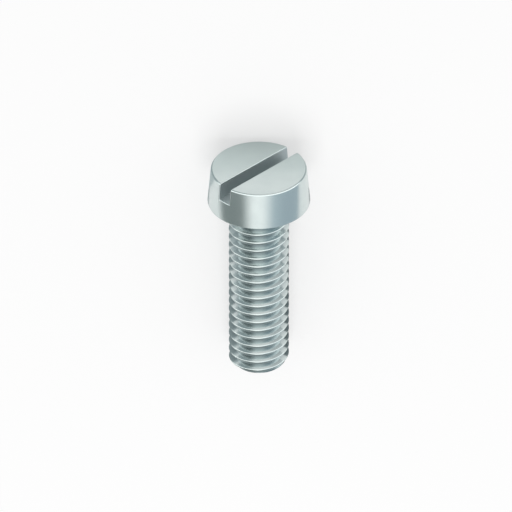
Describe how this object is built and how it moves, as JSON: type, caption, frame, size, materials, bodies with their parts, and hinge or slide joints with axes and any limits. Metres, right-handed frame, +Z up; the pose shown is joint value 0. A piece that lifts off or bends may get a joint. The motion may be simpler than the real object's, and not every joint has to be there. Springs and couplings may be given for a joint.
{
  "type": "machine screw",
  "caption": "Slotted cheese-head machine screw with a right-hand metric thread up to its head, a straight driver slot and a chamfered flat tip, lying on its side.",
  "frame": {"origin": "on the table, under the centre of the lying screw's box", "axes": "+Z up from the table; +X along the length as it lies, from the tip to the head. The screw's own axis rises 6.6 degrees from +X towards +Z, because the head is wider than the thread"},
  "size_m": [0.0198, 0.0084, 0.0085],
  "materials": {
    "zinc_plated_steel": "bright zinc plate with a clear blue-white passivation, satin to semi-gloss"
  },
  "bodies": {
    "root": {"screw": "zinc_plated_steel"}
  },
  "joints": []
}
